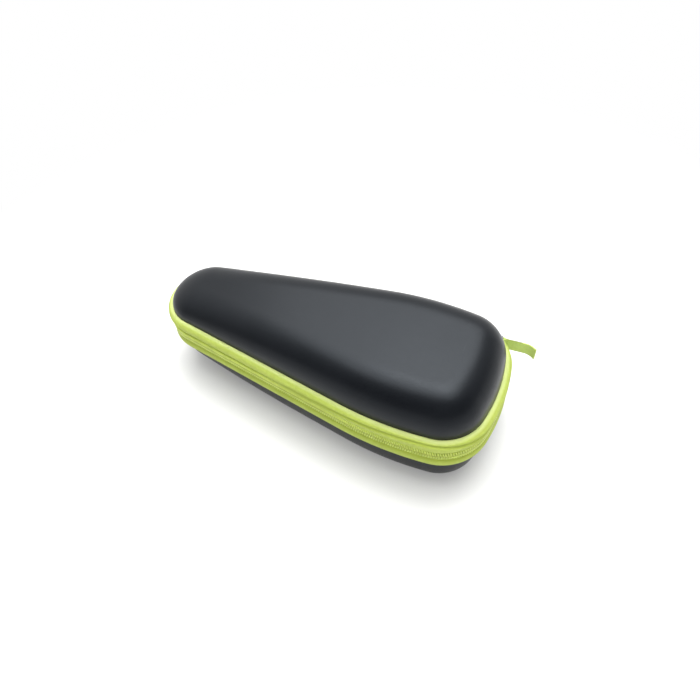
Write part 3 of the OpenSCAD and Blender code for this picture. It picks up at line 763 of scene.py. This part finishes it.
def swept_bar(bm, points, frames, wide, high, soft=0.2):
    """Adds a bar of rectangular section along a line of points; frames give the axes of its width and height."""
    made = bmesh.new()
    bmesh.ops.create_grid(made, x_segments=len(points) - 1, y_segments=4, size=1)
    corners = [(-1, -1), (1, -1), (1, 1), (-1, 1), (-1, -1)]
    for v in made.verts:
        i, j = round((v.co.x + 1) / 2 * (len(points) - 1)), round((v.co.y + 1) * 2)
        across, up = frames[i]
        v.co = (points[i] + across * corners[j][0] * wide / 2 + up * corners[j][1] * high / 2) * MM
    bmesh.ops.remove_doubles(made, verts=made.verts, dist=2e-6)
    bmesh.ops.holes_fill(made, edges=[e for e in made.edges if e.is_boundary])
    bmesh.ops.recalc_face_normals(made, faces=made.faces)
    sharp = [e for e in made.edges if len(e.link_faces) == 2 and e.calc_face_angle() > 0.9]
    bmesh.ops.bevel(made, geom=sharp, offset=soft * MM, segments=3, affect="EDGES", profile=0.5, material=-1)
    mesh = bpy.data.meshes.new("part")
    made.to_mesh(mesh)
    made.free()
    bm.from_mesh(mesh)
    bpy.data.meshes.remove(mesh)


arch = [(-3.0, -1.5), (-2.98, -2.4), (-2.9, -3.3), (-2.6, -4.1), (-2.0, -4.55), (-1.0, -4.66), (0, -4.68)]
arch += [(-a, b) for a, b in reversed(arch[:-1])]
line = [at_corner(a, b, 0) for a, b in arch]
turns = []
for i in range(len(line)):
    d = (line[min(i + 1, len(line) - 1)] - line[max(i - 1, 0)]).normalized()
    turns.append((Vector((0, 0, 1)), d.cross(Vector((0, 0, 1))).normalized()))
swept_bar(bm, line, turns, 2.5, 0.85)
line = [at_corner(a, 1.45, 0) for a in (1.6, 2.4, 3.2, 4.1)]
turns = [((line[i] - Vector((HUB.x, HUB.y, SPLIT))).normalized(), Vector((0, 0, 1))) for i in range(len(line))]
swept_bar(bm, line, turns, 4.9, 0.46, 0.1)
piece = finished(bm, "slider_body", "slider", ["slider"])
piece.data.materials.append(metal)
piece.data.set_sharp_from_angle(angle=math.radians(45))

# Pull link: a loop bent from round wire 1.1 mm thick; its inner bar turns under the slider's bridge.
LINK_AT, LINK_LONG, LINK_ANGLE = Vector((82.9134, 43.0428)), 7.5, math.radians(-28)
wire = bpy.data.curves.new("link_wire", "CURVE")
wire.dimensions = "3D"
wire.bevel_depth = 0.56 * MM
wire.bevel_resolution = 5
spline = wire.splines.new("POLY")
points = []
for cx, cz, start in ((LINK_LONG, 5.3, 0), (0, 5.3, 90), (0, -5.3, 180), (LINK_LONG, -5.3, 270)):
    inner_x, inner_z = cx - math.copysign(1.0, cx - 1), cz - math.copysign(1.0, cz)
    for k in range(7):
        a = math.radians(start + 15 * k)
        along = inner_x + math.cos(a)
        points.append(Vector((*(LINK_AT + along * heading(LINK_ANGLE)), SPLIT + inner_z + math.sin(a))))
spline.points.add(len(points) - 1)
for target, p in zip(spline.points, points):
    target.co = (*(p * MM), 1)
spline.use_cyclic_u = True
made = bpy.data.objects.new("link_wire", wire)
bpy.context.scene.collection.objects.link(made)
bpy.context.view_layer.update()
mesh = bpy.data.meshes.new_from_object(made.evaluated_get(bpy.context.evaluated_depsgraph_get()))
bpy.data.objects.remove(made)
bm = bmesh.new()
bm.from_mesh(mesh)
bmesh.ops.remove_doubles(bm, verts=bm.verts, dist=2e-6)
bmesh.ops.recalc_face_normals(bm, faces=bm.faces)
piece = finished(bm, "link_loop", "link", ["pull_link"])
piece.data.materials.clear()
piece.data.materials.append(metal)

# Pull ribbon: lime grosgrain 8 mm wide, laid round the link's outer bar, sewn double by two rows
# of stitches and cut square at its tip, where it keeps a curl.
ROOT, LAY, CURL = Vector((89.5356, 39.5218)), math.radians(4), math.radians(48)
ribbon_cloth = woven("ribbon", (0.62, 0.77, 0.20), (0.46, 0.60, 0.12), 0.62, 0.3, 0.00016, Sheen_Weight=0.15, Specular_IOR_Level=0.3)


def curl(side, k, steps=14):
    """Point of the curled end, side millimetres outside the ribbon's middle line."""
    c = ROOT + 12.5 * heading(LAY) + 8 * heading(LAY - square)
    return c + (8 + side) * heading(square + LAY - CURL * k / steps)


gap, loop = 0.32, 1.32
line = [curl(gap, k) for k in range(14, -1, -1)]
line += [ROOT + (12.5 - t) * heading(LAY) + gap * heading(LAY + square) for t in (1.5, 3, 4.5, 6, 7.5, 8.8, 9.8)]
for k in range(17):
    a = math.radians(34 + (292 / 16) * k)
    line.append(ROOT + loop * heading(LAY + a))
line += [ROOT + (12.5 - t) * heading(LAY) - gap * heading(LAY + square) for t in (9.8, 8.8, 7.5, 6, 4.5, 3, 1.5)]
line += [curl(-gap, k) for k in range(15)]
far = [0.0]
for a, b in zip(line, line[1:]):
    far.append(far[-1] + (b - a).length)


def ribbon_point(i, j):
    t = 2 * j / 10 - 1
    tip = max(0.0, (far[i] - far[-1] / 2) ** 2 / (far[-1] / 2) ** 2 - 0.4)
    lift = 0.25 * tip * math.sin(2.2 * t)
    return Vector((line[i].x, line[i].y, SPLIT + 3.95 * t + lift))


bm = laid_grid(len(line) - 1, 10, ribbon_point, (len(line) - 1, 8))
layer = bm.loops.layers.uv[0]
for f in bm.faces:
    for item in f.loops:
        item[layer].uv.x = far[round(item[layer].uv.x)]
bmesh.ops.recalc_face_normals(bm, faces=bm.faces)
bmesh.ops.solidify(bm, geom=bm.faces, thickness=0.5 * MM)
bmesh.ops.recalc_face_normals(bm, faces=bm.faces)
piece = finished(bm, "ribbon_band", "ribbon", ["pull_ribbon"])
piece.data.materials.append(ribbon_cloth)
places = []
for side in (-1, 1):
    for row in (3.2, 6.2):
        for k in range(4):
            p = ROOT + row * heading(LAY) + side * 0.62 * heading(LAY + square)
            at = Matrix.Translation(Vector((p.x, p.y, SPLIT - 2.6 + 1.75 * k)) * MM)
            n = heading(LAY + square)
            axes = Matrix(((0, 0, 1), (n.x, n.y, 0), (-n.y, n.x, 0))).transposed()
            places.append(at @ axes.to_4x4())
piece = finished(stitches(places, 1.5, 0.36, 0.36), "ribbon_stitching", "ribbon", ["pull_stitching"])
piece.data.materials.append(lime_thread)

# Floor, lamps and camera: plain white floor, soft lamps, and the photograph's own viewpoint.
scene = bpy.context.scene
bpy.ops.mesh.primitive_plane_add(size=8, location=(0, 0, 0))
floor = bpy.context.object
floor.name = "floor"
floor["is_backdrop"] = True
ground = bpy.data.materials.new("ground")
ground.use_nodes = True
tree = ground.node_tree
tree.nodes["Principled BSDF"].inputs["Base Color"].default_value = (0.78, 0.78, 0.78, 1)
tree.nodes["Principled BSDF"].inputs["Roughness"].default_value = 0.9
tree.nodes["Principled BSDF"].inputs["Specular IOR Level"].default_value = 0.1
floor.data.materials.append(ground)
# Away from the case, and its shadow, the floor is seen as plain white.
ray = node(tree, "LightPath").node.outputs
seen = math_node(tree, "MAXIMUM", ray["Is Camera Ray"], math_node(tree, "MAXIMUM", ray["Is Glossy Ray"], ray["Is Transmission Ray"]))
spot = node(tree, "TexCoord").node.outputs["Object"]
reach = node(tree, "VectorMath", {"operation": "LENGTH"}, i0=spot).node.outputs["Value"]
fade = math_node(tree, "MULTIPLY", seen, ramp(tree, reach, (0.14, 0.0), (0.34, 1.0)))
blend = tree.nodes.new("ShaderNodeMixShader")
tree.links.new(fade, blend.inputs[0])
tree.links.new(tree.nodes["Principled BSDF"].outputs[0], blend.inputs[1])
tree.links.new(node(tree, "Emission", Strength=1.0), blend.inputs[2])
tree.links.new(blend.outputs[0], tree.nodes["Material Output"].inputs["Surface"])

world = bpy.data.worlds.new("world")
scene.world = world
world.use_nodes = True
tree = world.node_tree
direction = node(tree, "TexCoord").node.outputs["Generated"]
turned = node(tree, "VectorMath", {"operation": "DOT_PRODUCT"}, i0=direction, i1=(-0.46, 0.68, 0.57)).node.outputs["Value"]
sky = ramp(tree, turned, (0.0, 0.2), (0.8, 1.05))
rise = node(tree, "SeparateXYZ", Vector=direction).node.outputs[2]
mixed = node(tree, "Mix", {"data_type": "RGBA"}, i0=ramp(tree, rise, (0.13, 1.0), (0.2, 0.0)), i6=sky, i7=(1, 1, 1, 1))
tree.links.new(mixed.node.outputs[2], tree.nodes["Background"].inputs["Color"])


def lamp(name, azimuth, elevation, far, wide, high, power):
    """Soft lamp that looks at the case."""
    data = bpy.data.lights.new(name, "AREA")
    data.shape = "RECTANGLE"
    data.size, data.size_y = wide, high
    data.energy = power
    made = bpy.data.objects.new(name, data)
    scene.collection.objects.link(made)
    a, e = math.radians(azimuth), math.radians(elevation)
    back = Vector((math.sin(a) * math.cos(e), -math.cos(a) * math.cos(e), math.sin(e)))
    made.location = Vector((0, 0, 0.03)) + back * far
    made.rotation_mode = "QUATERNION"
    made.rotation_quaternion = back.to_track_quat("Z", "Y")
    return made


lamp("top_lamp", 193, 70, 1.0, 1.1, 1.2, 14.6)
lamp("corner_lamp", 180, 71, 0.85, 0.38, 0.38, 2.0)
lamp("near_lamp", 34, 42, 1.0, 0.5, 0.5, 4.0).visible_glossy = False

AZIMUTH, ELEVATION, ROLL, FAR = math.radians(34.2), math.radians(51.9), math.radians(-9.4), 0.330
back = Vector((math.sin(AZIMUTH) * math.cos(ELEVATION), -math.cos(AZIMUTH) * math.cos(ELEVATION), math.sin(ELEVATION)))
right = Vector((math.cos(AZIMUTH), math.sin(AZIMUTH), 0))
up = back.cross(right)
data = bpy.data.cameras.new("camera")
data.lens = 580.8 / 700 * 36
data.sensor_width = 36
data.shift_x, data.shift_y = 0.0368, -0.0054
data.clip_start = 0.01
camera = bpy.data.objects.new("camera", data)
scene.collection.objects.link(camera)
axes = Matrix((math.cos(ROLL) * right + math.sin(ROLL) * up, math.cos(ROLL) * up - math.sin(ROLL) * right, back)).transposed()
camera.matrix_world = Matrix.Translation(Vector((0, 0, SPLIT * MM)) + back * FAR) @ axes.to_4x4()
scene.camera = camera
scene.view_settings.view_transform = "Standard"

low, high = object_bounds()
